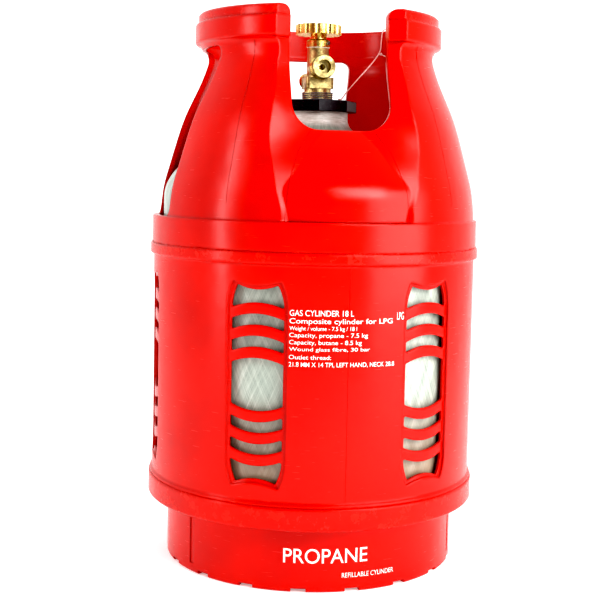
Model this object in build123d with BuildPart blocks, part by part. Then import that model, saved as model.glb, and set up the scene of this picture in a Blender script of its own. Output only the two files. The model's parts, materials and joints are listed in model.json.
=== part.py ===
"""Composite propane tank: a wound glass-fibre pressure vessel in a three-piece red casing, with a handwheel valve.

Millimetres, +Z up, front (the side the valve outlet points to) is -Y.
Origin: centre of the foot ring, on the floor.
"""
import os
from math import cos, pi, radians, sin, sqrt, tan

from build123d import *

os.makedirs("parts", exist_ok=True)

# ---- overall ----
body_r = 150.0            # outside of the mid casing
band_r = 153.0            # outside of the two bands, the widest place
total_h = 500.0

# ---- levels up the casing ----
foot_wall_top = 54.0
foot_band_z = 58.5        # underside of the lower band
foot_joint_z = 77.0       # foot base meets mid casing
mid_flange_h = 2.6
upper_flange_z = 281.0    # underside of the mid casing's top flange
upper_joint_z = 290.5     # mid casing meets upper casing
skirt_top_z = 316.0
skirt_r = 151.5

# ---- pressure vessel ----
vessel_r = 141.5
vessel_b = 67.0           # height of each dome
vessel_low_z = 98.0       # where the cylinder starts
vessel_high_z = 332.0     # where the cylinder ends
shell_t = 4.0
liner_t = 3.0
neck_r = 29.0             # wound neck
neck_top_z = 413.5
neck_swell_r = 46.0       # where the winding starts to build up round the neck
neck_swell_z = 407.0
boss_neck_r = 22.0
boss_flange_r = 40.0
boss_flange_t = 7.0
tail_r = 16.0
tail_flange_r = 34.0

# ---- casing walls ----
wall = 4.6                # mid casing and foot
casing_bore_r = body_r - wall
bar_depth = 2.0           # window bars sit this far in from the casing

# ---- foot base ----
foot_r = 134.5
foot_wall = 6.0
foot_notch_count = 18
foot_notch_w = 13.0
foot_notch_h = 3.0
foot_notch_turn = 5.0     # degrees from the front to the first notch
foot_step_turn = 62.0     # degrees from the front to each shallow groove
cradle_in_r = 92.0
cradle_t = 5.0

# ---- windows ----
window_count = 6
window_mid_z = 179.2
window_half_w = 23.6
window_big_h = 45.0
bar_w = 9.3
slot_w = 9.3
bar_rise = 5.0
end_slot_h = 11.0
end_corner_in = 5.5
window_fillet = 1.6
pocket_margin = 3.2

# ---- collar ----
collar_wall = 5.0
rim_in_r = 105.5
bead_r = 114.4
bead_z = 472.5
rim_tier_z = 491.0
rim_tier_r = 111.6
gap_half = 43.4           # front gap, half width
gap_floor_z = 393.5
gap_corner_r = 23.0
side_half = 47.0          # side openings, half width
side_top_z = 468.0
side_corner_r = 8.0
hole_half = 51.5          # rear hand hole, half width
hole_floor_z = 393.5
hole_top_z = 470.0
gap_top_r = 7.0           # rounding where the gap meets the rim's top
flank_levels = (          # height, half distance between the ridges, how fast the flank runs back from its ridge
    (315.0, 57.5, 0.12), (342.0, 61.0, 0.03), (358.0, 62.5, 0.0), (384.0, 65.0, 0.12),
    (405.0, 62.0, 0.25), (426.0, 58.0, 0.40), (450.0, 55.0, 0.60), (472.5, 55.0, 0.60),
)
bead_step = 4.0           # how far the rim stands out from the flanks
tier_step = 2.6
casing_wall = 3.0         # panels and lower collar
panel_r = 145.0           # domed panel over the vessel
panel_points = ((142.9, 344.0), (134.9, 358.0), (122.0, 377.0), (108.0, 394.0), (96.0, 406.0))
panel_gap = 0.2           # least gap to the vessel

# ---- neck ring and valve ----
ring_z = neck_top_z
ring_h = 10.5
ring_corner_r = 37.0
ring_flat_count = 8
stub_taper = 0.06         # radius per millimetre, the 3:25 cylinder thread
stub_r = 14.3
stub_top_z = 432.0
stub_low_z = 396.0
block_z = 435.5
block_h = 10.0
block_flats = 26.0
throat_r = 12.4
column_r = 10.3
column_top_z = 473.0
outlet_z = 454.2
outlet_r = 10.9
outlet_face = 28.0        # outlet face to valve axis
outlet_thread_len = 12.0
outlet_chamfer = 0.8
outlet_neck_r = 10.2      # plain neck behind the thread
outlet_recess_r = 6.5
outlet_recess_d = 9.0
outlet_hole_r = 2.8
gas_hole_r = 4.0
seat_hole_r = 3.2
seat_z = 449.0
seat_disc_r = 4.6
seat_disc_in = 1.2
seat_lift_gap = 0.05
chamber_r = 6.8
carrier_gap = 0.3
carrier_low_z = 450.4
carrier_top_z = 457.4
carrier_bore_z = 452.2
bonnet_r = 11.0
bonnet_plug_r = 8.0
bonnet_low_z = 462.0
bonnet_top_z = 480.8
washer_t = 1.0
spindle_r = 4.0
running_gap = 0.05
oring_r = 0.8
oring_groove_r = 5.8
oring_z = (466.0, 470.0)
screw_r = 2.5
screw_low_z = 454.9
flange_r = 6.2
flange_low_z = 460.4
square_w = 5.6
square_low_z = 484.0
square_top_z = 490.0
lock_z = 477.4
lock_turn = -50.0         # degrees round from +X
lock_in = 7.0
lock_r = 1.4
lock_head_in = 11.0
lock_head_r = 1.9
lock_head_h = 1.6
wheel_r = 21.2
wheel_z = 485.4
wheel_h = 8.8
wheel_scallops = 14
scallop_r = 4.6
scallop_depth = 1.5
wheel_hub_r = 7.4
hub_low_z = 481.3
wheel_rim_in = 16.0
wheel_web_z = 488.6
wheel_screw_r = 1.6
wheel_screw_len = 7.0
wheel_screw_head_r = 4.0
wheel_screw_head_h = 2.2
wheel_washer_r = 5.4

# ---- relief valve, measured out along its own axis ----
relief_turn = 112.0       # degrees round from +X, so it points back and left
relief_z = 443.6
relief_r = 7.4
relief_boss_len = 17.0
relief_end = 21.0
relief_hole_r = 1.8
relief_seat = 8.6
relief_pocket_r = 5.2
relief_plug_in = 15.0
relief_cap_r = 7.0
relief_seal_r = 3.6
relief_seal_top = 9.8
relief_disc_r = 4.7
relief_disc_top = 11.0
relief_stem_r = 1.3
stem_gap = 0.4
spring_r = 3.2
spring_wire_r = 0.4
spring_turns = 2.5

# ---- tether: turn from the front, distance from the axis, height ----
cord_r = 0.6
knot_r = 1.7


def dome_face(radius, height, z_mid, upward, mode=Mode.ADD):
    """Add a quarter ellipse to the sketch being drawn, to be spun into one dome."""
    with BuildLine() as quarter:
        if upward:
            arc = EllipticalCenterArc((0, z_mid), radius, height, start_angle=0, arc_size=90)
        else:
            arc = EllipticalCenterArc((0, z_mid), radius, height, start_angle=270, arc_size=90)
        Polyline(arc @ 1, (0, z_mid), arc @ 0)
    make_face(quarter.edges(), mode=mode)


def capsule(radius, height, low_z, high_z):
    """A solid vessel shape: a cylinder closed by two elliptical domes."""
    with BuildPart() as solid:
        with BuildSketch(Plane.XZ):
            dome_face(radius, height, high_z, True)
            dome_face(radius, height, low_z, False)
            with Locations((0, low_z)):
                Rectangle(radius, high_z - low_z, align=(Align.MIN, Align.MIN))
        revolve(axis=Axis.Z)
    return solid.part


def ring_solid(outer, inner, low, high):
    """A plain tube standing on +Z."""
    with BuildPart() as tube:
        with Locations((0, 0, low)):
            Cylinder(outer, high - low, align=(Align.CENTER, Align.CENTER, Align.MIN))
            Cylinder(inner, high - low, align=(Align.CENTER, Align.CENTER, Align.MIN), mode=Mode.SUBTRACT)
    return tube.part


def rod(radius, low, high):
    """A plain round bar standing on +Z."""
    with BuildPart() as bar:
        with Locations((0, 0, low)):
            Cylinder(radius, high - low, align=(Align.CENTER, Align.CENTER, Align.MIN))
    return bar.part


def sideways(z, turn):
    """Place for a solid built up +Z so that it points out from the axis, turn degrees round from +X."""
    return Location((0, 0, z), (0, 0, turn)) * Location((0, 0, 0), (0, 90, 0))


def ellipse_height(radius, a, b, z_mid):
    """Height of a dome's surface above its plane at one radius."""
    return z_mid + b * sqrt(1 - (radius / a) ** 2)


# ================= pressure vessel =================
liner_out_r = vessel_r - shell_t
liner_out_b = vessel_b - shell_t
liner_in_r = liner_out_r - liner_t
liner_in_b = liner_out_b - liner_t
boss_seat_z = ellipse_height(boss_flange_r, liner_in_r, liner_in_b, vessel_high_z)
boss_low_z = boss_seat_z - boss_flange_t
tail_seat_z = 2 * vessel_low_z - ellipse_height(tail_flange_r, liner_in_r, liner_in_b, vessel_low_z)

boss_blank = rod(boss_flange_r, boss_low_z, boss_seat_z) + rod(boss_neck_r, boss_low_z, neck_top_z + ring_h - 1.5)
tail_blank = rod(tail_flange_r, tail_seat_z, tail_seat_z + boss_flange_t)
tail_blank = tail_blank + rod(tail_r, vessel_low_z - vessel_b - 2, tail_seat_z + boss_flange_t)

with BuildPart() as composite_shell:
    add(capsule(vessel_r, vessel_b, vessel_low_z, vessel_high_z))
    add(rod(neck_r, vessel_high_z + liner_out_b - shell_t, neck_top_z))
    with BuildSketch(Plane.XZ):
        with BuildLine():
            swell_z = ellipse_height(neck_swell_r, vessel_r, vessel_b, vessel_high_z)
            ThreePointArc(
                (neck_r, neck_swell_z), (neck_r + 3.0, (neck_swell_z + swell_z) / 2 - 2), (neck_swell_r, swell_z))
            Polyline((neck_swell_r, swell_z), (boss_neck_r, swell_z - 6), (boss_neck_r, neck_swell_z),
                     (neck_r, neck_swell_z))
        make_face()
    revolve(axis=Axis.Z)
    add(capsule(liner_out_r, liner_out_b, vessel_low_z, vessel_high_z), mode=Mode.SUBTRACT)
    add(boss_blank, mode=Mode.SUBTRACT)
    add(tail_blank, mode=Mode.SUBTRACT)

with BuildPart() as liner:
    add(capsule(liner_out_r, liner_out_b, vessel_low_z, vessel_high_z))
    add(capsule(liner_in_r, liner_in_b, vessel_low_z, vessel_high_z), mode=Mode.SUBTRACT)
    add(boss_blank, mode=Mode.SUBTRACT)
    add(tail_blank, mode=Mode.SUBTRACT)


def stub_radius(z):
    """Radius of the tapered cylinder thread at one height."""
    return stub_r - stub_taper * (stub_top_z - z)


boss_top_z = neck_top_z + ring_h - 1.5

with BuildPart() as neck_boss:
    add(boss_blank)
    with BuildSketch(Plane.XZ):
        with BuildLine():
            Polyline(
                (0, boss_low_z), (stub_radius(boss_low_z), boss_low_z), (stub_radius(stub_low_z), stub_low_z),
                (stub_radius(boss_top_z), boss_top_z), (0, boss_top_z), close=True)
        make_face()
    revolve(axis=Axis.Z, mode=Mode.SUBTRACT)
    fillet(neck_boss.edges().filter_by(GeomType.CIRCLE).group_by(Axis.Z)[0].sort_by(SortBy.RADIUS)[-1:], 1.5)

with BuildPart() as tail_boss:
    add(tail_blank)

# ================= black ring over the neck =================
with BuildPart() as neck_ring:
    with BuildSketch(Plane.XY.offset(ring_z)):
        RegularPolygon(ring_corner_r, ring_flat_count, rotation=-9)
        Circle(boss_neck_r, mode=Mode.SUBTRACT)
    extrude(amount=ring_h)
    outer_edges = neck_ring.edges().filter_by(GeomType.LINE).filter_by(Plane.XY)
    chamfer(outer_edges, 0.8)

# ================= foot base =================
with BuildPart() as cradle:
    with BuildSketch(Plane.XZ):
        dome_face(vessel_r + cradle_t, vessel_b + cradle_t, vessel_low_z, False)
        with Locations((cradle_in_r, vessel_low_z)):
            Rectangle(foot_r - 1 - cradle_in_r, 2 * vessel_b, align=(Align.MIN, Align.MAX), mode=Mode.INTERSECT)
        dome_face(vessel_r, vessel_b, vessel_low_z, False, Mode.SUBTRACT)
    revolve(axis=Axis.Z)

with BuildPart() as foot_base:
    with BuildSketch(Plane.XZ):
        with BuildLine():
            Polyline(
                (foot_r - foot_wall, 0), (foot_r, 0), (foot_r, foot_wall_top), (foot_r + 2, foot_band_z - 1),
                (band_r - 1.2, foot_band_z - 1), (band_r, foot_band_z + 0.4), (band_r, foot_joint_z - 0.8),
                (band_r - 0.8, foot_joint_z), (casing_bore_r, foot_joint_z),
                (casing_bore_r, foot_band_z + wall), (foot_r - foot_wall, foot_band_z + wall),
                close=True)
        make_face()
    revolve(axis=Axis.Z)
    add(cradle.part)
    add(ring_solid(foot_r + 2, foot_r - foot_wall, foot_band_z, foot_band_z + wall + 8))
    add(capsule(vessel_r, vessel_b, vessel_low_z, vessel_high_z), mode=Mode.SUBTRACT)
    inner_edge = foot_base.edges().filter_by(GeomType.CIRCLE).group_by(Axis.Z)[0]
    chamfer(inner_edge, 1.0)
    with PolarLocations(foot_r - foot_wall / 2, foot_notch_count, start_angle=-90 + foot_notch_turn):
        Box(4 * foot_wall, foot_notch_w, 2 * foot_notch_h, mode=Mode.SUBTRACT)
    for turn in (-90 - foot_step_turn, -90 + foot_step_turn):
        with PolarLocations(foot_r, 1, start_angle=turn):
            with Locations((0, 0, foot_wall_top / 2 + 2)):
                Box(1.6, 5.0, foot_wall_top - 12, mode=Mode.SUBTRACT)

# ================= mid casing with slotted windows =================


def bar_edges():
    """Heights of every opening in one window: (low, high, bow of low edge, bow of high edge)."""
    half_big = window_big_h / 2
    rows = [(-half_big, half_big, -bar_rise, bar_rise)]
    z = half_big + bar_w
    for _ in range(2):
        rows.append((z, z + slot_w, bar_rise, bar_rise))
        rows.append((-z - slot_w, -z, -bar_rise, -bar_rise))
        z += slot_w + bar_w
    return rows, z


slot_rows, end_z = bar_edges()


def window_slots(half_w, grow):
    """Sketch of one window's openings, in a plane whose X runs round and Y runs up."""
    with BuildSketch() as holes:
        for low, high, bow_low, bow_high in slot_rows:
            with BuildLine():
                ThreePointArc((-half_w, high - bow_high), (0, high), (half_w, high - bow_high))
                Line((half_w, high - bow_high), (half_w, low - bow_low))
                ThreePointArc((half_w, low - bow_low), (0, low), (-half_w, low - bow_low))
                Line((-half_w, low - bow_low), (-half_w, high - bow_high))
            make_face()
        for side in (1, -1):
            inner = side * end_z
            outer = side * (end_z + end_slot_h)
            corner = side * (end_z + end_slot_h + bar_rise - 1)
            shoulder = side * (end_z + end_slot_h / 2 - 2)
            tip = half_w - end_corner_in
            foot = side * (end_z - bar_rise)
            with BuildLine():
                ThreePointArc((-half_w, foot), (0, inner), (half_w, foot))
                ThreePointArc((half_w, foot), (half_w - 1.1, shoulder), (tip, corner))
                ThreePointArc((tip, corner), (0, outer), (-tip, corner))
                ThreePointArc((-tip, corner), (-half_w + 1.1, shoulder), (-half_w, foot))
            make_face()
        fillet(holes.vertices(), grow)
    return holes.sketch


def window_pocket(half_w, margin):
    """Sketch of the shallow pocket round one window."""
    tall = end_z + end_slot_h + bar_rise - 1
    with BuildSketch() as pocket:
        with BuildLine():
            tip = half_w - end_corner_in + margin
            side = half_w + margin
            bend = tall - 20
            ThreePointArc((-tip, tall + margin), (0, tall + margin - bar_rise + 1), (tip, tall + margin))
            ThreePointArc((tip, tall + margin), (side - 1.4, tall - 8), (side, bend))
            Line((side, bend), (side, -bend))
            ThreePointArc((side, -bend), (side - 1.4, -tall + 8), (tip, -tall - margin))
            ThreePointArc((tip, -tall - margin), (0, -tall - margin + bar_rise - 1), (-tip, -tall - margin))
            ThreePointArc((-tip, -tall - margin), (-side + 1.4, -tall + 8), (-side, -bend))
            Line((-side, -bend), (-side, bend))
            ThreePointArc((-side, bend), (-side + 1.4, tall - 8), (-tip, tall + margin))
        make_face()
        fillet(pocket.vertices(), window_fillet)
    return pocket.sketch


window_plane = Plane(origin=(0, -body_r + 4 * wall, window_mid_z), x_dir=(1, 0, 0), z_dir=(0, -1, 0))

with BuildPart() as slot_tool:
    with BuildSketch(window_plane):
        add(window_slots(window_half_w, window_fillet))
    extrude(amount=6 * wall)

with BuildPart() as pocket_tool:
    with BuildSketch(window_plane):
        add(window_pocket(window_half_w, pocket_margin))
    extrude(amount=6 * wall)
    add(rod(body_r - bar_depth, foot_joint_z, upper_joint_z), mode=Mode.SUBTRACT)

with BuildPart() as mid_casing:
    with BuildSketch(Plane.XZ):
        with BuildLine():
            Polyline(
                (casing_bore_r, foot_joint_z), (band_r - 1.2, foot_joint_z),
                (band_r - 1.2, foot_joint_z + mid_flange_h), (body_r, foot_joint_z + mid_flange_h + 1),
                (body_r, upper_flange_z - 1), (band_r - 0.8, upper_flange_z), (band_r, upper_flange_z + 0.8),
                (band_r, upper_joint_z - 0.6), (band_r - 0.6, upper_joint_z),
                (casing_bore_r, upper_joint_z), close=True)
        make_face()
    revolve(axis=Axis.Z)
    first = 180 / window_count
    with PolarLocations(0, window_count, start_angle=first):
        add(pocket_tool.part, mode=Mode.SUBTRACT)
        add(slot_tool.part, mode=Mode.SUBTRACT)

# ================= upper casing: dome panels and collar =================
reach = 200.0             # longer than any cut needs
flare_z = 465.0           # the collar starts to flare out into the rim's bead


def collar_profile(inner):
    """Outline of the collar wall, spun about Z: its outside, or its inside when inner is true."""
    points = [
        (148.8, skirt_top_z), (147.8, 330.0), (146.2, 342.0), (142.0, 359.0), (134.8, 385.5),
        (126.6, 411.0), (118.6, 429.5), (112.0, 446.0), (108.8, 456.0), (107.8, flare_z),
    ]
    if not inner:
        return points
    span = points[4][1] - skirt_top_z
    grow = collar_wall - casing_wall
    return [(r - casing_wall - grow * min(1, (z - skirt_top_z) / span), z) for r, z in points]


def collar_solid(inner, top):
    """The collar as a filled spun shape, with its rim, or the hollow inside it."""
    outline = collar_profile(inner)
    last = outline[-1]
    with BuildPart() as solid:
        with BuildSketch(Plane.XZ):
            with BuildLine():
                Spline(outline, tangents=((0, 1), (0, 1)))
                if inner:
                    Polyline(last, (rim_in_r, bead_z + 2), (rim_in_r, top), (0, top))
                else:
                    ThreePointArc(last, (108.9, flare_z + 5.0), (bead_r - 1.5, bead_z))
                    Polyline(
                        (bead_r - 1.5, bead_z), (bead_r, bead_z + 1.5), (bead_r, rim_tier_z - 1.5),
                        (bead_r - 1.2, rim_tier_z), (rim_tier_r, rim_tier_z), (rim_tier_r, top - 1.5),
                        (rim_tier_r - 1.5, top), (0, top))
                Polyline((0, top), (0, skirt_top_z), outline[0])
            make_face()
        revolve(axis=Axis.Z)
    return solid.part


def collar_radius(z):
    """Outside radius of the collar wall at one height, between the outline's points."""
    outline = collar_profile(False)
    for (r0, z0), (r1, z1) in zip(outline, outline[1:]):
        if z <= z1:
            return r0 + (r1 - r0) * (z - z0) / (z1 - z0)
    return outline[-1][0]


def wedge_section(z, ridge_x, lean, forward):
    """What lies in front of the two flanks at one height; forward moves them towards the front."""
    ridge_y = sqrt(collar_radius(z) ** 2 - ridge_x ** 2) + forward * sqrt(1 + lean ** 2)
    far_y = ridge_y + lean * (band_r - ridge_x)
    with BuildSketch(Plane.XY.offset(z)) as face:
        with BuildLine():
            Polyline(
                (0, -ridge_y + lean * ridge_x), (band_r, -far_y), (band_r, -reach), (-band_r, -reach),
                (-band_r, -far_y), close=True)
        make_face()
    return face.sketch


def flank_wedge(inset, stepped):
    """The V cut into the collar's front. inset moves its two faces deeper into the collar."""
    top_x, top_lean = flank_levels[-1][1:]
    with BuildPart() as wedge:
        for z, ridge_x, lean in flank_levels:
            add(wedge_section(z, ridge_x, lean, -inset))
        loft()
        add(wedge_section(bead_z, top_x, top_lean, bead_step - inset if stepped else -inset))
        extrude(amount=rim_tier_z - bead_z)
        add(wedge_section(rim_tier_z, top_x, top_lean, tier_step - inset if stepped else -inset))
        extrude(amount=total_h - rim_tier_z + 2)
    return wedge.part


def panel_solid(inner):
    """The panel's dome above the skirt, spun and filled: its outside, or its inside when inner is true."""
    base_r = panel_r - casing_wall if inner else panel_r
    count = len(panel_points)
    thin = casing_wall if inner else 0
    domed = [(r - thin * (1 + 0.5 * (k + 1) / count), z) for k, (r, z) in enumerate(panel_points)]
    top = panel_points[-1][1]
    with BuildPart() as solid:
        with BuildSketch(Plane.XZ):
            with BuildLine():
                Line((base_r, skirt_top_z), (base_r, vessel_high_z - 2))
                Spline([(base_r, vessel_high_z - 2)] + domed, tangents=((0, 1), (-1, 0.9)))
                Polyline(domed[-1], (0, top), (0, skirt_top_z), (base_r, skirt_top_z))
            make_face()
        revolve(axis=Axis.Z)
    return solid.part


hollow = collar_solid(True, total_h + 1) - flank_wedge(collar_wall, False)
hollow = hollow + panel_solid(True)

with BuildPart() as gap_tool:
    with BuildSketch(Plane.XZ) as gap_face:
        with Locations((0, gap_floor_z)):
            Rectangle(2 * gap_half, reach, align=(Align.CENTER, Align.MIN))
        fillet(gap_face.vertices().group_by(Axis.Z)[0], gap_corner_r)
        with Locations((0, total_h - gap_top_r)):
            Rectangle(2 * (gap_half + gap_top_r), 2 * gap_top_r, align=(Align.CENTER, Align.MIN))
        with Locations((gap_half + gap_top_r, total_h - gap_top_r), (-gap_half - gap_top_r, total_h - gap_top_r)):
            Circle(gap_top_r, mode=Mode.SUBTRACT)
    extrude(amount=reach)

with BuildPart() as side_tool:
    with BuildSketch(Plane.YZ) as side_face:
        with Locations((0, skirt_top_z)):
            Rectangle(2 * side_half, side_top_z - skirt_top_z, align=(Align.CENTER, Align.MIN))
        fillet(side_face.vertices().group_by(Axis.Z)[-1], side_corner_r)
    extrude(amount=reach, both=True)

with BuildPart() as hole_tool:
    with BuildSketch(Plane.XZ) as hole_face:
        with Locations((0, hole_floor_z)):
            Rectangle(2 * hole_half, hole_top_z - hole_floor_z, align=(Align.CENTER, Align.MIN))
        fillet(hole_face.vertices(), side_corner_r)
    extrude(amount=-reach)

with BuildPart() as upper_casing:
    add(collar_solid(False, total_h))
    add(flank_wedge(0, True), mode=Mode.SUBTRACT)
    add(panel_solid(False))
    add(hollow, mode=Mode.SUBTRACT)
    add(gap_tool.part, mode=Mode.SUBTRACT)
    add(side_tool.part, mode=Mode.SUBTRACT)
    add(hole_tool.part, mode=Mode.SUBTRACT)
    with BuildSketch(Plane.XZ):
        with BuildLine():
            Polyline(
                (casing_bore_r, upper_joint_z), (skirt_r - 0.6, upper_joint_z),
                (skirt_r, upper_joint_z + 0.6), (skirt_r, skirt_top_z - 0.6), (skirt_r - 0.6, skirt_top_z),
                (casing_bore_r, skirt_top_z), close=True)
        make_face()
    revolve(axis=Axis.Z)
    add(capsule(vessel_r + panel_gap, vessel_b + panel_gap, vessel_low_z, vessel_high_z), mode=Mode.SUBTRACT)

# ================= valve =================
with BuildPart() as valve_body:
    with BuildSketch(Plane.XZ):
        with BuildLine():
            Polyline(
                (0, stub_low_z), (stub_radius(stub_low_z) - 1, stub_low_z),
                (stub_radius(stub_low_z + 1), stub_low_z + 1), (stub_r, stub_top_z), (throat_r, stub_top_z),
                (throat_r, block_z), (column_r, block_z), (column_r, column_top_z), (0, column_top_z),
                close=True)
        make_face()
    revolve(axis=Axis.Z)
    with BuildSketch(Plane.XY.offset(block_z)):
        RectangleRounded(block_flats, block_flats, 3)
    extrude(amount=block_h)
    with BuildSketch(Plane.XZ):
        with Locations((0, outlet_z)):
            Circle(outlet_neck_r)
    extrude(amount=outlet_face)
    with BuildSketch(Plane.XZ.offset(outlet_face - outlet_chamfer - outlet_thread_len)):
        with Locations((0, outlet_z)):
            Circle(outlet_r)
    extrude(amount=outlet_thread_len + outlet_chamfer)
    outlet_rim = valve_body.edges().filter_by(GeomType.CIRCLE).sort_by(Axis.Y)[0]
    chamfer(outlet_rim, outlet_chamfer)
    with Locations(sideways(relief_z, relief_turn)):
        Cylinder(relief_r, relief_boss_len, align=(Align.CENTER, Align.CENTER, Align.MIN))
    add(rod(gas_hole_r, stub_low_z, seat_z - 3), mode=Mode.SUBTRACT)
    add(rod(seat_hole_r, seat_z - 3, seat_z), mode=Mode.SUBTRACT)
    add(rod(chamber_r, seat_z, bonnet_low_z), mode=Mode.SUBTRACT)
    add(rod(bonnet_plug_r, bonnet_low_z, column_top_z), mode=Mode.SUBTRACT)
    with BuildSketch(Plane.XZ):
        with Locations((0, outlet_z)):
            Circle(outlet_hole_r)
    extrude(amount=outlet_face, mode=Mode.SUBTRACT)
    with BuildSketch(Plane.XZ.offset(outlet_face - outlet_recess_d)):
        with Locations((0, outlet_z)):
            Circle(outlet_recess_r)
    extrude(amount=outlet_recess_d, mode=Mode.SUBTRACT)
    with Locations(sideways(relief_z, relief_turn)):
        Cylinder(relief_hole_r, relief_boss_len, align=(Align.CENTER, Align.CENTER, Align.MIN),
                 mode=Mode.SUBTRACT)
        with Locations((0, 0, relief_seat)):
            Cylinder(relief_pocket_r, reach / 10, align=(Align.CENTER, Align.CENTER, Align.MIN),
                     mode=Mode.SUBTRACT)

with BuildPart() as bonnet_washer:
    add(ring_solid(column_r, bonnet_plug_r, column_top_z, column_top_z + washer_t))

with BuildPart() as bonnet:
    add(rod(bonnet_plug_r, bonnet_low_z, column_top_z + washer_t))
    add(rod(bonnet_r, column_top_z + washer_t, bonnet_top_z))
    top_edge = bonnet.edges().filter_by(GeomType.CIRCLE).group_by(Axis.Z)[-1]
    chamfer(top_edge, 1.2)
    add(rod(spindle_r + running_gap, bonnet_low_z, bonnet_top_z), mode=Mode.SUBTRACT)
    for z in oring_z:
        add(rod(oring_groove_r, z - oring_r, z + oring_r), mode=Mode.SUBTRACT)
    with Locations(sideways(lock_z, lock_turn)):
        with Locations((0, 0, lock_in)):
            Cylinder(lock_r, bonnet_r, align=(Align.CENTER, Align.CENTER, Align.MIN), mode=Mode.SUBTRACT)

with BuildPart() as bonnet_lock_screw:
    with Locations(sideways(lock_z, lock_turn)):
        with Locations((0, 0, lock_in)):
            Cylinder(lock_r, lock_head_in - lock_in, align=(Align.CENTER, Align.CENTER, Align.MIN))
        with Locations((0, 0, lock_head_in)):
            Cylinder(lock_head_r, lock_head_h, align=(Align.CENTER, Align.CENTER, Align.MIN))
        with Locations((0, 0, lock_head_in + lock_head_h)):
            Box(2 * lock_head_r, 0.6, 1.0, mode=Mode.SUBTRACT)

with BuildPart() as spindle_orings:
    for z in oring_z:
        with Locations((0, 0, z)):
            Torus(spindle_r + running_gap + oring_r, oring_r - running_gap)

with BuildPart() as spindle:
    add(rod(screw_r, screw_low_z, flange_low_z))
    add(rod(flange_r, flange_low_z, bonnet_low_z - running_gap))
    add(rod(spindle_r, flange_low_z, square_low_z))
    with BuildSketch(Plane.XY.offset(square_low_z)):
        Rectangle(square_w, square_w)
    extrude(amount=square_top_z - square_low_z)
    add(rod(wheel_screw_r, square_top_z - wheel_screw_len, square_top_z), mode=Mode.SUBTRACT)

with BuildPart() as seat_carrier:
    add(rod(chamber_r - carrier_gap, carrier_low_z, carrier_top_z))
    add(rod(screw_r + running_gap, carrier_bore_z, carrier_top_z), mode=Mode.SUBTRACT)
    add(rod(seat_disc_r, carrier_low_z, carrier_low_z + seat_disc_in), mode=Mode.SUBTRACT)

with BuildPart() as seat_disc:
    add(rod(seat_disc_r, seat_z + seat_lift_gap, carrier_low_z + seat_disc_in))

# ================= handwheel =================
with BuildPart() as handwheel:
    add(rod(wheel_r, wheel_z, wheel_z + wheel_h))
    with PolarLocations(wheel_r + scallop_r - scallop_depth, wheel_scallops):
        with Locations((0, 0, wheel_z + wheel_h / 2)):
            Cylinder(scallop_r, 2 * wheel_h, mode=Mode.SUBTRACT)
    add(rod(wheel_hub_r, hub_low_z, wheel_z + wheel_h))
    add(ring_solid(wheel_rim_in, wheel_hub_r, wheel_web_z, wheel_z + wheel_h + 1), mode=Mode.SUBTRACT)
    add(rod(wheel_hub_r, square_top_z, wheel_z + wheel_h), mode=Mode.SUBTRACT)
    with BuildSketch(Plane.XY.offset(hub_low_z)):
        Rectangle(square_w, square_w)
    extrude(amount=square_top_z - hub_low_z, mode=Mode.SUBTRACT)
    add(rod(spindle_r, hub_low_z, square_low_z), mode=Mode.SUBTRACT)

with BuildPart() as handwheel_washer:
    add(ring_solid(wheel_washer_r, wheel_screw_r, square_top_z, square_top_z + washer_t))

with BuildPart() as handwheel_screw:
    add(rod(wheel_screw_r, square_top_z - wheel_screw_len, square_top_z + washer_t))
    add(rod(wheel_screw_head_r, square_top_z + washer_t, square_top_z + washer_t + wheel_screw_head_h))
    with Locations((0, 0, square_top_z + washer_t + wheel_screw_head_h)):
        Box(2 * wheel_screw_head_r, 1.0, 1.6, mode=Mode.SUBTRACT)

# ================= relief valve, lying along its own axis =================


def on_relief(solid):
    """Turn a solid built up +Z so that it lies along the relief valve's axis."""
    return sideways(relief_z, relief_turn) * solid


relief_cap_blank = rod(relief_pocket_r, relief_plug_in, relief_boss_len)
relief_cap_blank = relief_cap_blank + rod(relief_cap_r, relief_boss_len, relief_end)
relief_cap_blank = relief_cap_blank - rod(relief_stem_r + stem_gap, relief_plug_in, relief_end)

with BuildPart() as relief_cap:
    add(on_relief(relief_cap_blank))

with BuildPart() as relief_seal:
    add(on_relief(rod(relief_seal_r, relief_seat + seat_lift_gap, relief_seal_top)))

with BuildPart() as relief_poppet:
    add(on_relief(rod(relief_disc_r, relief_seal_top, relief_disc_top)
                  + rod(relief_stem_r, relief_disc_top, relief_end - 1)))

with BuildPart() as spring_up:
    with BuildLine():
        coil = Helix(
            pitch=(relief_plug_in - relief_disc_top - 2 * spring_wire_r) / spring_turns,
            height=relief_plug_in - relief_disc_top - 2 * spring_wire_r, radius=spring_r,
            center=(0, 0, relief_disc_top + spring_wire_r))
    with BuildSketch(Plane(coil @ 0, z_dir=coil % 0)):
        Circle(spring_wire_r)
    sweep()

with BuildPart() as relief_spring:
    add(on_relief(spring_up.part))

# ================= tether =================
def polar(turn, radius, z):
    """A point given by its turn from the front, its distance from the axis and its height."""
    return (radius * sin(radians(turn)), -radius * cos(radians(turn)), z)


def cord_part(points):
    """A round cord along straight runs joined by arcs that touch both of them."""
    radii = []
    for a, b, c in zip(points, points[1:], points[2:]):
        u = Vector(*b) - Vector(*a)
        v = Vector(*c) - Vector(*b)
        half_turn = radians(u.get_angle(v)) / 2
        radii.append(0.45 * min(u.length, v.length) / tan(half_turn))
    print("bend radii", [round(r, 1) for r in radii])
    with BuildPart() as cord:
        with BuildLine() as route:
            FilletPolyline(*points, radius=radii)
        with BuildSketch(Plane(route.line @ 0, z_dir=route.line % 0)):
            Circle(cord_r)
        sweep()
    length = route.wires()[0].length
    print(f"cord length {length:.1f}, volume {cord.part.volume:.2f}, section x length {pi * cord_r ** 2 * length:.2f}")
    return cord.part


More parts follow.
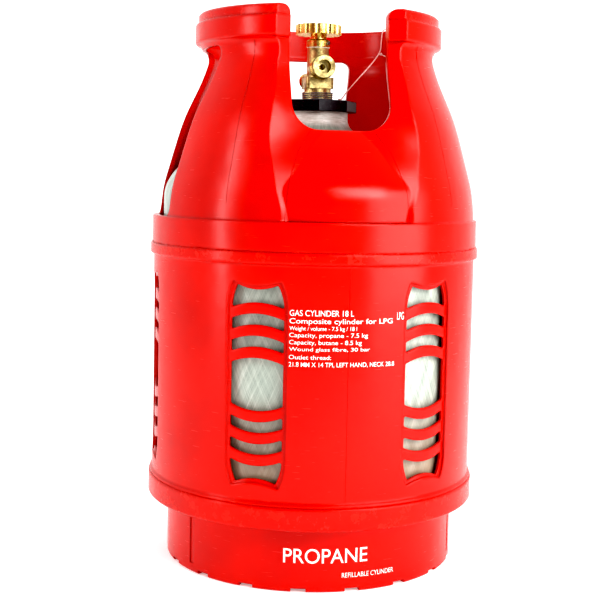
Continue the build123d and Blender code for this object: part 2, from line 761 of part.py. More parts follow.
stub_turns = 8
loop_far = 105.0          # the loop on the neck ring is slack towards this side
loop_r = 17.5
loop_slack = 6.0
loop_z = ring_z + ring_h + cord_r
neck_loop = []
for step in range(stub_turns):
    swing = 360 / stub_turns * step
    neck_loop.append(polar(loop_far + swing, loop_r + loop_slack * max(0, cos(radians(swing))), loop_z))
knot_turn = 131.4
knot_z = 477.0
strand = [polar(104.0, 24.8, loop_z + 1.5), polar(112.6, 35.6, 437.0), polar(knot_turn, rim_in_r - 1.6, knot_z)]
over_rim = [
    polar(131.1, rim_in_r - 1.2, 488.5), polar(130.7, rim_in_r - 1.2, total_h - 1.0),
    polar(130.4, rim_in_r + 1.8, total_h + 2.6), polar(129.8, rim_tier_r + 0.6, total_h + 2.6),
    polar(128.2, bead_r + 2.0, total_h - 2.0),
    polar(121.0, bead_r + 2.3, 486.0), polar(112.0, bead_r + 2.0, side_top_z + 2.0),
    polar(110.0, 109.4, side_top_z - 2.6), polar(111.4, 100.6, side_top_z - 1.6),
    polar(121.6, 99.6, side_top_z + 3.0), polar(knot_turn - 0.4, rim_in_r - knot_r, knot_z + 0.4),
]
tether_route = neck_loop + strand + over_rim

with BuildPart() as tether_cord:
    add(cord_part(tether_route))

with BuildPart() as tether_knots:
    for place in (polar(loop_far, loop_r + loop_slack, ring_z + ring_h + knot_r), tether_route[-1]):
        with Locations(place):
            Sphere(knot_r)

pieces = {
    "upper_casing": ("Upper casing and collar", upper_casing),
    "mid_casing": ("Middle casing with windows", mid_casing),
    "foot_base": ("Foot base", foot_base),
    "composite_shell": ("Wound composite shell", composite_shell),
    "liner": ("Gas-tight liner", liner),
    "neck_boss": ("Neck boss", neck_boss),
    "tail_boss": ("Tail boss", tail_boss),
    "neck_ring": ("Octagonal neck ring", neck_ring),
    "valve_body": ("Valve body", valve_body),
    "bonnet_washer": ("Bonnet washer", bonnet_washer),
    "bonnet": ("Valve bonnet", bonnet),
    "bonnet_lock_screw": ("Bonnet locking screw", bonnet_lock_screw),
    "spindle_orings": ("Spindle O-rings", spindle_orings),
    "spindle": ("Valve spindle", spindle),
    "seat_carrier": ("Seat carrier", seat_carrier),
    "seat_disc": ("Seat disc", seat_disc),
    "handwheel": ("Handwheel", handwheel),
    "handwheel_washer": ("Handwheel washer", handwheel_washer),
    "handwheel_screw": ("Handwheel screw", handwheel_screw),
    "relief_cap": ("Relief valve cap", relief_cap),
    "relief_seal": ("Relief valve seal", relief_seal),
    "relief_poppet": ("Relief valve poppet", relief_poppet),
    "relief_spring": ("Relief valve spring", relief_spring),
    "tether_cord": ("Tether cord", tether_cord),
    "tether_knots": ("Tether knots", tether_knots),
}
for name, (label, piece) in pieces.items():
    piece.part.label = label
    export_step(piece.part, f"parts/{name}.step")
    box = piece.part.bounding_box()
    print(f"{name:20s} {len(piece.part.solids())} solid(s) {piece.part.volume / 1000:9.2f} cm3  "
          f"z {box.min.Z:.1f}..{box.max.Z:.1f}")
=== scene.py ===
# %% [markdown]
# # A composite propane tank
# The tank is a wound glass-fibre vessel in a three-piece red plastic casing, with a brass handwheel valve.
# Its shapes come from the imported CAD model, which this lesson loads as a fixed frame. What is left for Blender is
# the light, the finishes, and the small things that a CAD model leaves out: threads, moulding marks, print and cord.

# %% Load the frame
import json
import math
import bmesh
import bpy
from mathutils import Matrix, Vector, noise


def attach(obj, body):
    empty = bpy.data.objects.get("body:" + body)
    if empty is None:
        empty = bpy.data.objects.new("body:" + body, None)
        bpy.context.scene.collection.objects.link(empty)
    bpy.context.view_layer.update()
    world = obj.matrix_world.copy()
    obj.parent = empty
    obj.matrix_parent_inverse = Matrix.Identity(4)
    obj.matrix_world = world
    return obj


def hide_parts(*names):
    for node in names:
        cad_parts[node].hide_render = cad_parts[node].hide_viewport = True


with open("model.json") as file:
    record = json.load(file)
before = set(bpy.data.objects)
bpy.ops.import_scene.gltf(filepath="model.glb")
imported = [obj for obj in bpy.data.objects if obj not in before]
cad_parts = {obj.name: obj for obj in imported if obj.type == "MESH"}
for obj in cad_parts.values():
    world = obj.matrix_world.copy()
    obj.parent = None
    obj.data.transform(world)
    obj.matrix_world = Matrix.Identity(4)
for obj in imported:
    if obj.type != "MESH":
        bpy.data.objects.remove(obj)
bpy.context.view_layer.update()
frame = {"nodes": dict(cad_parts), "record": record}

MM = 0.001
nodes = frame["nodes"]

# %% [markdown]
# ## Camera
# The camera stands 1.13 m away and a little to the left of the front, just above the middle of the tank. A long lens
# keeps the sides of the casing nearly parallel. It looks about four degrees down and leans one degree, as a camera
# held by hand does. The lens is shifted so that the tank fills the frame without tilting the camera any further.

# %% Camera
CAMERA_AT = Vector((-0.2294, -1.1056, 0.3553))
TURN, DOWN, LEAN = math.radians(-11.722), math.radians(4.2195), math.radians(1.219)

scene = bpy.context.scene
camera = bpy.data.objects.new("camera", bpy.data.cameras.new("camera"))
scene.collection.objects.link(camera)
scene.camera = camera
camera.matrix_world = (
    Matrix.Translation(CAMERA_AT)
    @ Matrix.Rotation(TURN, 4, "Z")
    @ Matrix.Rotation(math.radians(90) - DOWN, 4, "X")
    @ Matrix.Rotation(LEAN, 4, "Z")
)
camera.data.sensor_width = 36.0
camera.data.lens = 71.66
camera.data.shift_x, camera.data.shift_y = -0.0229, -0.0619
print("camera at", tuple(camera.location))

# %% [markdown]
# ## Helpers for materials
# Hex colours are how a paint or plastic is usually quoted, but a shader wants linear light, so one function turns one
# into the other. A second adds a node, with its settings and with whatever feeds its sockets, and is used for every
# kind of node. A third starts a material with its shader and the tank's own coordinates, and a fourth joins the
# finished colour, roughness and relief to that shader.

# %% Helpers for materials


def linear(hex_text):
    """A colour written as RRGGBB in sRGB, as linear red, green, blue and alpha."""
    parts = [int(hex_text[i:i + 2], 16) / 255 for i in (0, 2, 4)]
    return [c / 12.92 if c <= 0.04045 else ((c + 0.055) / 1.055) ** 2.4 for c in parts] + [1.0]


def add_node(tree, kind, feeds=(), stops=(), out=0, **settings):
    """Add one node and return one of its outputs.

    feeds fills its inputs, by name or in their order, with numbers or with other nodes' outputs. stops are the
    places and colours of a ramp, its two ends first.
    """
    made = tree.nodes.new(kind)
    for name, value in settings.items():
        setattr(made, name, value)
    for name, value in feeds.items() if isinstance(feeds, dict) else enumerate(feeds):
        if isinstance(value, bpy.types.NodeSocket):
            tree.links.new(value, made.inputs[name])
        else:
            made.inputs[name].default_value = value
    for place, (at, colour) in enumerate(stops):
        points = made.color_ramp.elements
        point = points[place] if place < 2 else points.new(at)
        point.position, point.color = at, linear(colour)
    return made.outputs[out]


def start_material(name, **sockets):
    """A new material, its tree, its shader and its object coordinates; sockets are the shader's plain numbers."""
    material = bpy.data.materials.new(name)
    material.use_nodes = True
    tree = material.node_tree
    shader = tree.nodes["Principled BSDF"]
    for socket, value in sockets.items():
        shader.inputs[socket.replace("_", " ")].default_value = value
    return material, tree, shader, add_node(tree, "ShaderNodeTexCoord", out="Object")


def join_finish(tree, shader, colour, roughness, height, depth, edge=0.0):
    """Give a shader its colour, its roughness and a relief of some depth; edge rounds sharp edges to that radius."""
    feeds = {"Height": height, "Distance": depth}
    if edge:
        feeds["Normal"] = add_node(tree, "ShaderNodeBevel", {"Radius": edge}, samples=6)
    relief = add_node(tree, "ShaderNodeBump", feeds)
    for socket, output in (("Base Color", colour), ("Roughness", roughness), ("Normal", relief)):
        tree.links.new(output, shader.inputs[socket])


print("material helpers ready")

# %% [markdown]
# ## Red casing plastic
# The casing is injection-moulded high-density polyethylene, coloured right through. It comes out of a polished mould,
# so it is glossy, but not optically flat: it has a faint waviness a centimetre across and a fine skin texture. In use
# it gets thin scuffs and a paler, drier look on the bands and the rim, which rub on other tanks. The red itself is a
# strong scarlet that hardly varies, so the variation is kept to a few percent. A moulded edge is never sharp, and the
# CAD's edges are, so a Bevel node rounds them in the shading.

# %% Red casing plastic
RED, RED_DEEP, RED_RUBBED = "CE1300", "BC0D00", "DC321C"
GLOSS, RUBBED_GLOSS = 0.24, 0.42
EDGE_ROUND = 3.0 * MM
CLOUD, WAVE, PATCH, SKIN = 1 / 14.0, 1 / 45.0, 1 / 90.0, 1 / 1400.0    # grain sizes in metres
# heights that touch other tanks: the lower band, the upper band and the rim
RUBBED_BANDS = ((57 * MM, 77 * MM), (281 * MM, 292 * MM), (489 * MM, 500 * MM))


def red_plastic():
    material, tree, shader, place = start_material("moulded_red_hdpe", IOR=1.5, Specular_IOR_Level=0.32)
    height = add_node(tree, "ShaderNodeSeparateXYZ", [place], out="Z")
    cloud = add_node(tree, "ShaderNodeTexNoise", {"Vector": place, "Scale": 1 / CLOUD, "Detail": 3.0})
    tint = add_node(tree, "ShaderNodeValToRGB", [cloud], [(0.3, RED_DEEP), (0.65, RED)])
    rubbed = 0.0
    for low, high in RUBBED_BANDS:
        above = add_node(tree, "ShaderNodeMapRange", [height, low, low + 2 * MM, 0.0, 1.0])
        below = add_node(tree, "ShaderNodeMapRange", [height, high - 2 * MM, high + 1 * MM, 1.0, 0.0])
        rubbed = add_node(tree, "ShaderNodeMath", [above, below, rubbed], operation="MULTIPLY_ADD")
    grains = add_node(tree, "ShaderNodeTexNoise", {
        "Vector": place, "Scale": 1 / PATCH, "Detail": 6.0, "Roughness": 0.65})
    patches = add_node(tree, "ShaderNodeMapRange", [grains, 0.52, 0.72, 0.0, 0.6])
    worn = add_node(tree, "ShaderNodeMath", [rubbed, patches], operation="MULTIPLY")
    # long thin scuffs, about 1 mm high and 17 mm long, drawn round the tank
    drawn = add_node(tree, "ShaderNodeMapping", {"Vector": place, "Scale": (60.0, 60.0, 900.0)})
    strokes = add_node(tree, "ShaderNodeTexNoise", {"Vector": drawn, "Scale": 1.0, "Detail": 2.0})
    scuffs = add_node(tree, "ShaderNodeMapRange", [strokes, 0.70, 0.76, 0.0, 0.35])
    marked = add_node(tree, "ShaderNodeMath", [worn, scuffs], operation="MAXIMUM")
    # a colour Mix has its factor at 0, its two colours at 6 and 7, and its result at 2
    colour = add_node(tree, "ShaderNodeMix", {0: marked, 6: tint, 7: linear(RED_RUBBED)}, out=2, data_type="RGBA")
    gloss = add_node(tree, "ShaderNodeMapRange", [marked, 0.0, 0.6, GLOSS, RUBBED_GLOSS])
    wave = add_node(tree, "ShaderNodeTexNoise", {"Vector": place, "Scale": 1 / WAVE, "Detail": 1.0})
    fine = add_node(tree, "ShaderNodeTexNoise", {"Vector": place, "Scale": 1 / SKIN, "Detail": 1.0})
    relief = add_node(tree, "ShaderNodeMath", [fine, 0.06, wave], operation="MULTIPLY_ADD")
    join_finish(tree, shader, colour, gloss, relief, 0.35 * MM, EDGE_ROUND)
    return material


red = red_plastic()
print("made", red.name)

# %% [markdown]
# ## Wound glass fibre
# The vessel is glass roving in clear epoxy, laid by a machine that turns the liner while a head runs up and down. It
# leaves flat bands of fibre at a steep angle that cross each other, pale grey with a green cast, and brighter threads
# where a strand is dry. Noise stretched hard along two crossing directions gives both. The directions need a flat
# sheet to run over, so the object coordinates are unrolled first: distance round the vessel, and height. Towards the
# foot the colour turns browner. The neck is wound round and round, and its resin is thicker and paler.

# %% Wound glass fibre
VESSEL_R = 141.5 * MM
WIND_ANGLE = math.radians(24)
STRAND = 1.1 * MM       # a real strand is 0.5 mm; drawn twice as coarse, so that it shows
BAND = 7.0 * MM
BROWN_TOP, NECK_FOOT, NECK_TOP = 170 * MM, 399 * MM, 404 * MM
FOOT_BROWN = "967458"
FIBRE_TONES = [(0.62, "828B81"), (1.0, "C2C8BF"), (0.74, "969F95"), (0.86, "A7B0A5")]


def unrolled(tree, place, radius):
    """Round distance, height and nothing, for a pattern on a round body."""
    east, south, height = (add_node(tree, "ShaderNodeSeparateXYZ", [place], out=k) for k in range(3))
    turn = add_node(tree, "ShaderNodeMath", [east, south], operation="ARCTAN2")
    arc = add_node(tree, "ShaderNodeMath", [turn, radius], operation="MULTIPLY")
    return add_node(tree, "ShaderNodeCombineXYZ", [arc, height]), height


def glass_fibre():
    material, tree, shader, place = start_material(
        "wound_glass_fibre", IOR=1.54, Coat_Weight=0.25, Coat_Roughness=0.2)
    sheet, height = unrolled(tree, place, VESSEL_R)
    strands, bands = [], []
    for lean in (WIND_ANGLE, -WIND_ANGLE):
        turned = add_node(tree, "ShaderNodeMapping", {"Vector": sheet, "Rotation": (0.0, 0.0, lean)})
        for layers, width, run in ((strands, STRAND, 40 * MM), (bands, BAND, 300 * MM)):
            drawn = add_node(tree, "ShaderNodeMapping", {"Vector": turned, "Scale": (1 / width, 1 / run, 1.0)})
            layers.append(add_node(tree, "ShaderNodeTexNoise", {
                "Vector": drawn, "Scale": 1.0, "Detail": 2.0, "Roughness": 0.6}))
    bright = add_node(tree, "ShaderNodeMath", strands, operation="MAXIMUM")
    crossed = add_node(tree, "ShaderNodeMath", bands, operation="ADD")
    weave = add_node(tree, "ShaderNodeMath", [crossed, 0.5], operation="MULTIPLY")
    wound = add_node(tree, "ShaderNodeMath", [bright, 0.6, weave], operation="MULTIPLY_ADD")
    tone = add_node(tree, "ShaderNodeValToRGB", [wound], FIBRE_TONES)
    # the colour turns browner from 170 mm down to 95 mm, mixed up to seven tenths towards a brown
    foot_share = add_node(tree, "ShaderNodeMapRange", [height, 95 * MM, BROWN_TOP, 0.7, 0.0])
    browned = add_node(tree, "ShaderNodeMix", {0: foot_share, 6: tone, 7: linear(FOOT_BROWN)}, out=2, data_type="RGBA")
    hoop = add_node(tree, "ShaderNodeMapping", {"Vector": sheet, "Scale": (25.0, 700.0, 1.0)})
    hoops = add_node(tree, "ShaderNodeTexNoise", {"Vector": hoop, "Scale": 1.0, "Detail": 2.0})
    hoop_tone = add_node(tree, "ShaderNodeValToRGB", [hoops], [(0.35, "D2D0C6"), (0.65, "F2F1EB")])
    neck = add_node(tree, "ShaderNodeMapRange", [height, NECK_FOOT, NECK_TOP, 0.0, 1.0])
    colour = add_node(tree, "ShaderNodeMix", {0: neck, 6: browned, 7: hoop_tone}, out=2, data_type="RGBA")
    gloss = add_node(tree, "ShaderNodeMapRange", [bright, 0.4, 0.7, 0.48, 0.3])
    join_finish(tree, shader, colour, gloss, wound, 0.25 * MM)
    return material


fibre = glass_fibre()
print("made", fibre.name)

# %% [markdown]
# ## Brass, old and bright
# The valve body is hot-forged brass: a rough, rounded skin that has gone olive brown in the hollows. The bonnet, the
# outlet face and the handwheel are turned or die-cast and stay yellow. Both are one recipe with other numbers: two
# colours mixed by a cloudy noise, a grainy relief for the forging or casting skin, and dark flecks of tarnish.

# %% Brass, old and bright
TARNISH_CLOUD, TARNISH_FLECK = 1 / 130.0, 1 / 900.0


def brass(name, clean, dull, gloss, rough, grain, depth):
    material, tree, shader, place = start_material(name, Metallic=1.0)
    cloud, flecks, skin = (
        add_node(tree, "ShaderNodeTexNoise", {"Vector": place, "Scale": 1 / size, "Detail": detail, "Roughness": 0.6})
        for size, detail in ((TARNISH_CLOUD, 5.0), (TARNISH_FLECK, 3.0), (grain, 4.0)))
    mixed = add_node(tree, "ShaderNodeMath", [flecks, 0.45, cloud], operation="MULTIPLY_ADD")
    tint = add_node(tree, "ShaderNodeValToRGB", [mixed], [(0.55, dull), (0.82, clean)])
    sheen = add_node(tree, "ShaderNodeMapRange", [mixed, 0.55, 0.85, rough, gloss])
    join_finish(tree, shader, tint, sheen, skin, depth)
    return material


old_brass = brass("forged_brass_aged", "DACA92", "8A7C56", 0.30, 0.50, 1.6 * MM, 0.25 * MM)
bright_brass = brass("cast_brass_bright", "F0DC8E", "BCA45C", 0.22, 0.36, 2.5 * MM, 0.08 * MM)
print("made", old_brass.name, bright_brass.name)

# %% [markdown]
# ## Other metals and the small parts
# The neck ring is steel with a black coating, scratched down to grey in short strokes where spanners have touched it.
# The screws are zinc-plated steel, the spring is drawn wire, and the seals, seats and cord are plain polymers. Each
# gets two tones and its own grain, because even a plain part is never one flat colour.

# %% Other metals and the small parts


def two_tone(name, dark, light, low, high, grain, depth, gloss, rough, **sockets):
    """A finish with two tones, mixed by noise of one grain size, from one end of its range to the other."""
    material, tree, shader, place = start_material(name, **sockets)
    pattern = add_node(tree, "ShaderNodeTexNoise", {
        "Vector": place, "Scale": 1 / grain, "Detail": 6.0, "Roughness": 0.6})
    tint = add_node(tree, "ShaderNodeValToRGB", [pattern], [(low, dark), (high, light)])
    sheen = add_node(tree, "ShaderNodeMapRange", [pattern, low, high, gloss, rough])
    join_finish(tree, shader, tint, sheen, pattern, depth)
    return material


black_coat = two_tone("black_coated_steel", "191821", "8A8894", 0.60, 0.80, 1.2 * MM, 0.1 * MM, 0.34, 0.55)
zinc = two_tone("zinc_plated_steel", "7C7D78", "B4B5AE", 0.3, 0.7, 1.5 * MM, 0.02 * MM, 0.25, 0.4, Metallic=1.0)
spring_wire = two_tone(
    "drawn_spring_steel", "5C5C5A", "8E8E8A", 0.3, 0.7, 1.0 * MM, 0.01 * MM, 0.25, 0.35, Metallic=1.0)
rubber = two_tone("nitrile_rubber", "0C0C0C", "202020", 0.3, 0.7, 0.8 * MM, 0.02 * MM, 0.5, 0.7, IOR=1.5)
seat_nylon = two_tone("machined_nylon", "CFCBBB", "E4E1D4", 0.3, 0.7, 1.0 * MM, 0.02 * MM, 0.35, 0.5, IOR=1.53)
liner_plastic = two_tone("blown_natural_hdpe", "C9CCC2", "E2E4DB", 0.3, 0.7, 9.0 * MM, 0.1 * MM, 0.35, 0.5, IOR=1.52)
cord_nylon = two_tone("clear_nylon_line", "E0908A", "F6D8D2", 0.3, 0.7, 4.0 * MM, 0.02 * MM, 0.2, 0.3, IOR=1.53)
sealant = two_tone("thread_sealant_grey", "3C3844", "8F8A98", 0.35, 0.65, 1.8 * MM, 0.2 * MM, 0.4, 0.6, IOR=1.45)
ink = two_tone("white_screen_ink", "F3CFC8", "FFF6F2", 0.35, 0.55, 1.5 * MM, 0.02 * MM, 0.5, 0.6, IOR=1.5)
print("made", len(bpy.data.materials), "materials")

# %% [markdown]
# ## Dress the frame's own pieces
# Every CAD piece keeps its mesh and gets its finish. The record's material slots say which pieces share a finish, so
# one table from slot to material dresses them all.

# %% Dress the frame's own pieces
FINISHES = {
    "red_hdpe": red, "glass_fibre": fibre, "liner_hdpe": liner_plastic, "brass_body": old_brass,
    "brass_bright": bright_brass, "black_steel": black_coat, "zinc_steel": zinc, "spring_steel": spring_wire,
    "nitrile": rubber, "nylon_seat": seat_nylon, "nylon_cord": cord_nylon,
}
for part in frame["record"]["subparts"]:
    mesh = nodes[part["node"]].data
    mesh.materials.clear()
    mesh.materials.append(FINISHES[part["material_slot"]])

# %% [markdown]
# ## Helpers for new pieces
# A new piece is a bmesh that becomes an object at the origin, with its place in its mesh. Its normals are made to face
# outwards, it gets a finish, and it rides on the tank's body, so that it stays with the tank in every pose.

# %% Helpers for new pieces


def finish_piece(name, shape, material, body="tank", smooth=True):
    """Turn a bmesh into a named object that rides on one body."""
    bmesh.ops.remove_doubles(shape, verts=shape.verts, dist=1e-6)
    bmesh.ops.recalc_face_normals(shape, faces=shape.faces)
    mesh = bpy.data.meshes.new(name)
    shape.to_mesh(mesh)
    shape.free()
    mesh.polygons.foreach_set("use_smooth", [smooth] * len(mesh.polygons))
    return place_piece(bpy.data.objects.new(name, mesh), material, body)


def place_piece(piece, material, body="tank"):
    """Link an object, give it its finish and its slot, and make it ride on one body."""
    scene.collection.objects.link(piece)
    piece.data.materials.append(material)
    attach(piece, body)
    print("made", piece.name)
    return piece


def polar(turn, radius, z):
    """A point given in degrees from the front, distance from the axis and height, in millimetres."""
    angle = math.radians(turn)
    return Vector((radius * math.sin(angle), -radius * math.cos(angle), z)) * MM


print("piece helpers ready")

# %% [markdown]
# ## Threads
# The stub that screws into the vessel is a taper thread, and the outlet is a left-hand gas thread. A thread is one
# V-shaped ridge that climbs while it goes round. bmesh's spin does just that when it is also given a step along the
# axis, so a small blunt wedge is spun for a few turns. Scaling the points by their height then gives the taper.

# %% Threads
PITCH = 1.814 * MM     # 14 threads to the inch
THREAD_STEPS = 40      # steps in one turn
STUB_R, STUB_TAPER, STUB_FOOT = 13.85 * MM, 0.0625, 424.2 * MM
OUTLET_R, OUTLET_Z = 10.9 * MM, 454.2 * MM


def thread(turns, radius, height, hand, taper=0.0):
    """A bmesh of one helical ridge that climbs +Z from 0. hand is 1 for right and -1 for left."""
    shape = bmesh.new()
    half = 0.46 * PITCH
    corners = [shape.verts.new(Vector(p)) for p in (
        (radius - 0.3 * MM, 0, -half), (radius + height, 0, -0.15 * half),
        (radius + height, 0, 0.15 * half), (radius - 0.3 * MM, 0, half))]
    face = shape.faces.new(corners)
    bmesh.ops.spin(
        shape, geom=[face, *face.edges, *face.verts], angle=hand * turns * math.tau, steps=int(turns * THREAD_STEPS),
        axis=(0, 0, 1), cent=(0, 0, 0), dvec=(0, 0, PITCH / THREAD_STEPS), use_duplicate=False)
    for vert in shape.verts:
        grow = 1 + taper * vert.co.z / radius
        vert.co.x *= grow
        vert.co.y *= grow
    return shape


stub = thread(4.2, STUB_R, 0.45 * MM, 1, STUB_TAPER)
bmesh.ops.translate(stub, verts=stub.verts, vec=(0, 0, STUB_FOOT))
finish_piece("stub_thread", stub, sealant)

outlet = thread(6.0, OUTLET_R, 0.2 * MM, -1)
bmesh.ops.rotate(outlet, verts=outlet.verts, cent=(0, 0, 0), matrix=Matrix.Rotation(math.radians(90), 3, "X"))
bmesh.ops.translate(outlet, verts=outlet.verts, vec=(0, -15.6 * MM, OUTLET_Z))
finish_piece("outlet_thread", outlet, bright_brass)

# %% [markdown]
# ## Weld flash between the casings
# The upper casing is welded to the middle one with a hot plate. The melt squeezes out into a thin, rough bead that
# nobody trims. It is a ring of small section, spun full circle, with each point pushed in or out by noise that is
# stretched round the ring, and torn in a few places.

# %% Weld flash between the casings
FLASH_R, FLASH_Z = 151.6 * MM, 290.6 * MM
flash = bmesh.new()
bmesh.ops.create_circle(flash, segments=8, radius=0.7 * MM, cap_ends=False)
bmesh.ops.rotate(flash, verts=flash.verts, cent=(0, 0, 0), matrix=Matrix.Rotation(math.radians(90), 3, "X"))
bmesh.ops.translate(flash, verts=flash.verts, vec=(FLASH_R, 0, FLASH_Z))
bmesh.ops.spin(
    flash, geom=[*flash.verts, *flash.edges], angle=math.tau, steps=480, axis=(0, 0, 1), cent=(0, 0, 0),
    use_merge=True)
for vert in flash.verts:
    rough = noise.fractal(vert.co * 130, 0.7, 2.0, 4)
    torn = max(0.0, noise.noise(vert.co * 35) - 0.25)
    away = Vector((vert.co.x, vert.co.y, 0)).normalized()
    vert.co += away * (0.35 * rough + 0.9 * torn - 0.15) * MM + Vector((0, 0, 0.7 * rough * MM))
finish_piece("weld_flash", flash, red)

# %% [markdown]
# ## Mould lines
# Where two halves of a mould meet, the plastic keeps a hair-thin raised line. The middle casing has one at the front
# and one at the back, and the upper casing has them down the collar and round the front panel's insert. Each is drawn
# as a curve whose points are found by looking in at the casing from outside, so it lies on whatever shape is there.

# %% Mould lines


def on_casing(node, turn, z):
    """The outermost point of a casing at one turn from the front, in degrees, and one height, in millimetres."""
    inward = -polar(turn, 1000.0, 0.0).normalized()
    hit, point, _, _ = nodes[node].ray_cast(polar(turn, 200.0, z), inward)
    return point if hit else None


def mould_line(name, node, ends, steps=24, thick=0.22):
    """A thin raised line along (turn, height) places on one casing."""
    line = bpy.data.curves.new(name, "CURVE")
    line.dimensions = "3D"
    line.bevel_depth = thick * MM
    line.bevel_resolution = 1
    points = []
    for (turn0, z0), (turn1, z1) in zip(ends, ends[1:]):
        for k in range(steps):
            share = k / (steps - 1)
            point = on_casing(node, turn0 + (turn1 - turn0) * share, z0 + (z1 - z0) * share)
            if point is not None:
                points.append(point)
    spline = line.splines.new("POLY")
    spline.points.add(len(points) - 1)
    for place, point in zip(spline.points, points):
        place.co = (*point, 1.0)
    return place_piece(bpy.data.objects.new(name, line), red)


mould_line("mould_line_front", "mid_casing", [(0.0, 81.5), (0.0, 279.5)], 3)
mould_line("mould_line_back", "mid_casing", [(180.0, 81.5), (180.0, 279.5)], 3)
mould_line("mould_line_panel_left", "upper_casing", [(-21.5, 316.4), (-20.5, 352.0), (-18.5, 375.0), (-14.5, 392.0)])
mould_line("mould_line_panel_right", "upper_casing", [(21.5, 316.4), (20.5, 352.0), (18.5, 375.0), (14.5, 392.0)])
mould_line("mould_line_collar_left", "upper_casing", [(-42.0, 470.0), (-42.0, 330.0)])
mould_line("mould_line_collar_right", "upper_casing", [(42.0, 470.0), (42.0, 330.0)])

# %% [markdown]
# ## Print on the casing
# The casing is screen printed in white: eight lines of filling data beside the window, and a large word on the foot.
# The words here are generic. Text is set flat as a text curve and made a mesh, then each row is rolled on to the
# round casing: a point's distance along the row becomes a turn, and its height stays.

# %% Print on the casing


def print_row(shape, words, radius, left, right, z, tall, bold):
    """Add one row of words to a bmesh, rolled on a cylinder between two turns, in degrees, standing on height z."""
    text = bpy.data.curves.new("row", "FONT")
    text.body = words
    text.offset = bold
    holder = bpy.data.objects.new("row", text)
    scene.collection.objects.link(holder)
    mesh = bpy.data.meshes.new_from_object(holder.evaluated_get(bpy.context.evaluated_depsgraph_get()))
    start_x = min(vert.co.x for vert in mesh.vertices)
    wide = max(vert.co.x for vert in mesh.vertices) - start_x
    capital = 0.7    # height of a capital in Blender's own font, at size 1
    for vert in mesh.vertices:
        turn = left + (right - left) * (vert.co.x - start_x) / wide
        vert.co = polar(turn, radius, z + vert.co.y * tall / capital)
    shape.from_mesh(mesh)
    bpy.data.objects.remove(holder)
    bpy.data.meshes.remove(mesh)


BODY_PRINT_R, FOOT_PRINT_R = 150.08, 134.6
ROWS = [
    ("GAS CYLINDER 18 L", 1.5, 238.9, 4.9, 0.006),
    ("Composite cylinder for LPG", 14.9, 232.6, 4.3, 0.006),
    ("Weight / volume - 7.5 kg / 18 l", 2.6, 226.9, 3.4, 0.004),
    ("Capacity, propane - 7.5 kg", 6.3, 221.2, 3.6, 0.004),
    ("Capacity, butane - 8.5 kg", 4.3, 215.2, 3.6, 0.004),
    ("Wound glass fibre, 30 bar", 7.1, 209.7, 3.1, 0.002),
    ("Outlet thread:", -5.6, 202.8, 3.5, 0.006),
    ("21.8 MM X 14 TPI, LEFT HAND, NECK 28.8", 15.8, 196.6, 3.8, 0.006),
]
body_print = bmesh.new()
for words, right, z, tall, bold in ROWS:
    print_row(body_print, words, BODY_PRINT_R, -19.0, right, z, tall, bold)
print_row(body_print, "LPG", BODY_PRINT_R, 16.5, 19.1, 235.4, 6.4, 0.006)
finish_piece("body_print", body_print, ink, smooth=False)

foot_print = bmesh.new()
print_row(foot_print, "PROPANE", FOOT_PRINT_R, -20.6, 10.7, 25.5, 12.6, 0.004)
print_row(foot_print, "REFILLABLE CYLINDER", FOOT_PRINT_R, 1.0, 22.0, 12.5, 4.2, 0.003)
finish_piece("foot_print", foot_print, ink, smooth=False)

# %% [markdown]
# ## Tether
# A thin nylon line is looped round the valve's stub, runs up to the rim, goes over it and comes back through the side
# opening to a knot. It is one NURBS curve with the route's points, so that it bends softly, as a limp line does. Its
# order and its fixed ends are set after the points, because set before them they are lost.

# %% Tether
LOOP_FAR, LOOP_R, LOOP_SLACK, LOOP_Z = 105.0, 17.5, 6.0, 424.6
RIM_IN, RIM_TIER, BEAD, SIDE_TOP, TOP = 105.5, 111.6, 114.4, 468.0, 500.0
KNOT_TURN, KNOT_Z = 131.4, 477.0

route = []
for step in range(8):
    swing = 45.0 * step
    slack = LOOP_SLACK * max(0.0, math.cos(math.radians(swing)))
    route.append(polar(LOOP_FAR + swing, LOOP_R + slack, LOOP_Z))
route += [polar(*place) for place in (
    (104.0, 24.8, LOOP_Z + 1.5), (112.6, 35.6, 437.0), (KNOT_TURN, RIM_IN - 1.6, KNOT_Z),
    (131.1, RIM_IN - 1.2, 488.5), (130.7, RIM_IN - 1.2, TOP - 1.0), (130.4, RIM_IN + 1.8, TOP + 2.6),
    (129.8, RIM_TIER + 0.6, TOP + 2.6), (128.2, BEAD + 2.0, TOP - 2.0), (121.0, BEAD + 2.3, 486.0),
    (112.0, BEAD + 2.0, SIDE_TOP + 2.0), (110.0, 109.4, SIDE_TOP - 2.6), (111.4, 100.6, SIDE_TOP - 1.6),
    (121.6, 99.6, SIDE_TOP + 3.0), (KNOT_TURN - 0.4, RIM_IN - 1.7, KNOT_Z + 0.4),
)]


def soft_line(name, points, radius, cyclic=False):
    """A round cord on a smooth NURBS line that has those points as its control points."""
    line = bpy.data.curves.new(name, "CURVE")
    line.dimensions = "3D"
    line.bevel_depth = radius
    line.bevel_resolution = 4
    line.use_fill_caps = True
    spline = line.splines.new("NURBS")
    spline.points.add(len(points) - 1)
    for place, point in zip(spline.points, points):
        place.co = (*point, 1.0)
    spline.order_u = 3
    spline.use_endpoint_u = not cyclic
    spline.use_cyclic_u = cyclic
    spline.resolution_u = 12
    return bpy.data.objects.new(name, line)


tether = place_piece(soft_line("tether", route, 0.6 * MM), cord_nylon)
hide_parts("tether_cord")

# %% [markdown]
# ## Knots
# Each knot is the same line wound on itself. Two turns of a small helix round the strand read as a tied knot at this
# size. A curve can be moved only by its points once it is a mesh, so each coil is made a mesh first and then placed.

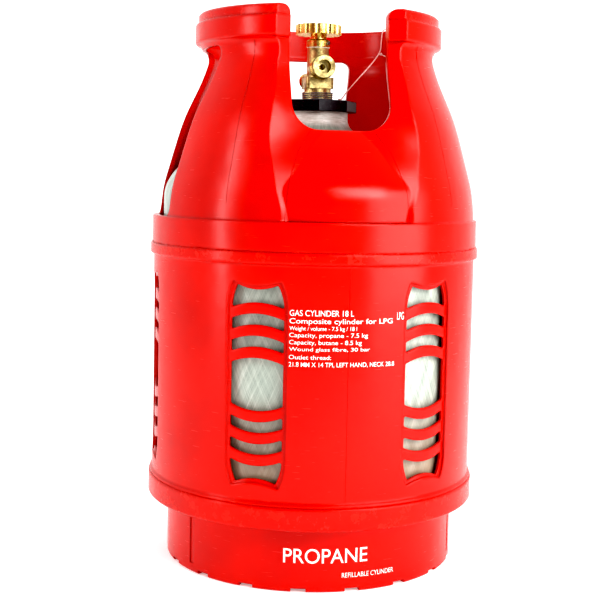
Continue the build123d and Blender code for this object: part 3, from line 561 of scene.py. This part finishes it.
# %% Knots
COIL_STEPS = 14     # a little over two turns, 1 mm in radius and 2 mm high
knots = bmesh.new()
for centre in (polar(105.0, 23.5, 426.2), route[-1]):
    coil = []
    for step in range(COIL_STEPS + 1):
        swing = step * math.tau / 6
        coil.append(Vector((math.cos(swing), math.sin(swing), -1.0 + 2.0 * step / COIL_STEPS)) * MM)
    holder = soft_line("knot", coil, 0.65 * MM)
    scene.collection.objects.link(holder)
    mesh = bpy.data.meshes.new_from_object(holder.evaluated_get(bpy.context.evaluated_depsgraph_get()))
    mesh.transform(Matrix.Translation(centre))
    knots.from_mesh(mesh)
    bpy.data.objects.remove(holder)
    bpy.data.meshes.remove(mesh)
knots = finish_piece("tether_knot_turns", knots, cord_nylon)
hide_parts("tether_knots")

# %% [markdown]
# ## Floor and light
# The tank stands on a plain, very pale floor that runs into a white background. One large soft light from the front
# right puts the broad highlight down the casing's right side, a narrower one from the left draws the edge of the
# other side, and one from above fills the collar.

# %% Floor and light
FRONT_GLOW, BACK_GLOW = 0.15, 1.08     # the wall behind the tank is lit, the room in front of it is dim
FADE_FROM, FADE_TO = -0.7, 0.5     # from nearly straight in front to half-way behind

floor_shape = bmesh.new()
bmesh.ops.create_circle(floor_shape, segments=64, radius=6.0, cap_ends=True)
bmesh.ops.translate(floor_shape, verts=floor_shape.verts, vec=(0, 0, -0.0005))
floor_mesh = bpy.data.meshes.new("floor")
floor_shape.to_mesh(floor_mesh)
floor_shape.free()
floor = bpy.data.objects.new("floor", floor_mesh)
scene.collection.objects.link(floor)
paper, paper_tree, paper_shader, paper_place = start_material(
    "studio_paper", Roughness=0.9, Specular_IOR_Level=0.1, Emission_Color=(1.0, 1.0, 1.0, 1.0), Emission_Strength=0.28)
paper_tone = add_node(paper_tree, "ShaderNodeTexNoise", {"Vector": paper_place, "Scale": 3.0, "Detail": 3.0})
paper_tint = add_node(paper_tree, "ShaderNodeValToRGB", [paper_tone], [(0.3, "F4F4F4"), (0.7, "F8F8F8")])
paper_tree.links.new(paper_tint, paper_shader.inputs["Base Color"])
floor_mesh.materials.append(paper)

world = bpy.data.worlds.new("studio")
world.use_nodes = True
scene.world = world
sky = world.node_tree
toward = add_node(sky, "ShaderNodeTexCoord", out="Generated")
depth = add_node(sky, "ShaderNodeSeparateXYZ", [toward], out="Y")
fade = add_node(sky, "ShaderNodeMapRange", [depth, FADE_FROM, FADE_TO, FRONT_GLOW, BACK_GLOW])
sky.nodes["Background"].inputs["Color"].default_value = linear("FFFFFF")
sky.links.new(fade, sky.nodes["Background"].inputs["Strength"])


def soft_light(name, turn, away, z, wide, tall, power):
    """A rectangular light at one turn from the front, aimed at the middle of the tank."""
    lamp = bpy.data.objects.new(name, bpy.data.lights.new(name, "AREA"))
    lamp.data.shape, lamp.data.size, lamp.data.size_y, lamp.data.energy = "RECTANGLE", wide, tall, power
    lamp.location = polar(turn, away / MM, z / MM)
    aim = Vector((0, 0, 0.27)) - lamp.location
    lamp.rotation_mode = "QUATERNION"
    lamp.rotation_quaternion = aim.to_track_quat("-Z", "Y")
    scene.collection.objects.link(lamp)


soft_light("key_right", 46.0, 1.4, 0.54, 1.0, 0.95, 13.0)
soft_light("edge_left", -75.0, 1.4, 0.6, 0.16, 1.0, 5.0)
soft_light("top_front", 22.0, 1.3, 0.95, 0.75, 0.6, 11.0)
scene.view_settings.view_transform = "Standard"
scene.view_settings.look = "High Contrast"
scene.view_settings.use_curve_mapping = True
scene.view_settings.curve_mapping.black_level = (0.020, 0.020, 0.020)
